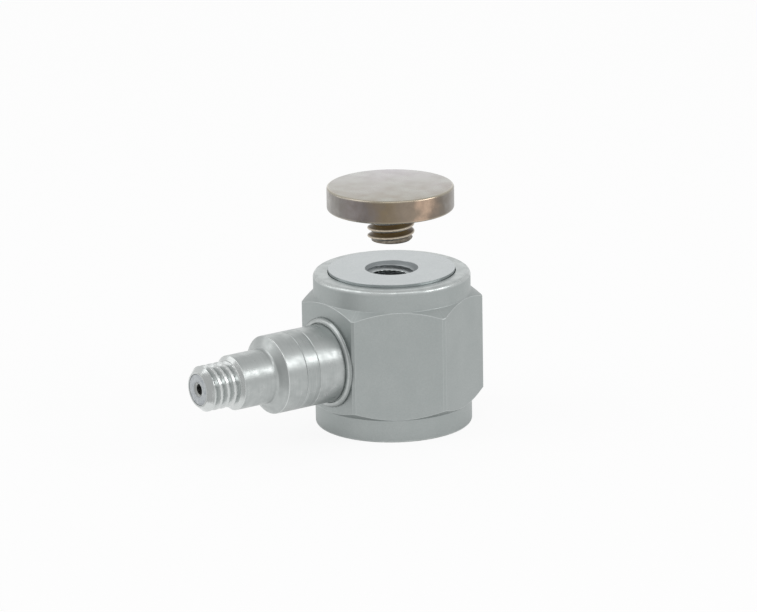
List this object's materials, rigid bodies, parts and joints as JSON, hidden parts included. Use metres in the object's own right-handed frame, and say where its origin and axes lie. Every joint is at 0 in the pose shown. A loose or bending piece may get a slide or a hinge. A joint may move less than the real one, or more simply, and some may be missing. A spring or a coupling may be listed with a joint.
{
  "type": "force sensor with impact cap",
  "caption": "Hexagonal quartz force sensor with a side coaxial jack, a tapped mounting hole in its base and a round screw-in impact cap lifted off its sensing face.",
  "frame": {"origin": "centre of the mounting face, on the axis of the tapped mounting hole", "axes": "+Z is the sensing axis, from the mounting face to the cap; the coaxial jack points along -X"},
  "size_m": [0.0311, 0.0182, 0.0244],
  "materials": {
    "housing_steel": "bead-blasted stainless steel, satin",
    "face_steel": "finely turned stainless steel",
    "connector_steel": "turned stainless steel, bright",
    "cap_steel": "hardened steel with grey-brown temper colours",
    "stud_alloy": "beryllium copper, turned",
    "quartz": "lapped crystal quartz",
    "gold_plating": "gold plated",
    "grey_insulator": "moulded grey insulator",
    "cream_insulator": "machined cream insulator",
    "board": "glass-epoxy laminate with solder mask",
    "chip_black": "moulded epoxy",
    "resistor_black": "coated ceramic chip",
    "capacitor_tan": "fired ceramic chip",
    "nickel": "nickel, rolled or plated"
  },
  "bodies": {
    "sensor": {"hex_housing": "housing_steel", "base_plate": "housing_steel", "sensing_plate": "face_steel", "seal_membrane": "face_steel", "preload_stud": "stud_alloy", "quartz_plate_lower": "quartz", "quartz_plate_upper": "quartz", "electrode_ring": "gold_plating", "locating_sleeve": "cream_insulator", "connector_barrel": "connector_steel", "connector_shell": "connector_steel", "connector_insulator": "grey_insulator", "contact_socket": "nickel", "board_holder": "cream_insulator", "amplifier_board": "board", "amplifier_chip": "chip_black", "bias_resistor": "resistor_black", "coupling_capacitor": "capacitor_tan", "input_lead": "nickel", "output_lead": "nickel"},
    "cap": {"impact_cap": "cap_steel"}
  },
  "joints": [
    {"name": "cap_lift", "type": "slide", "parent": "sensor", "child": "cap", "axis": [0, 0, 1], "range_m": [-0.00613, 0]}
  ]
}
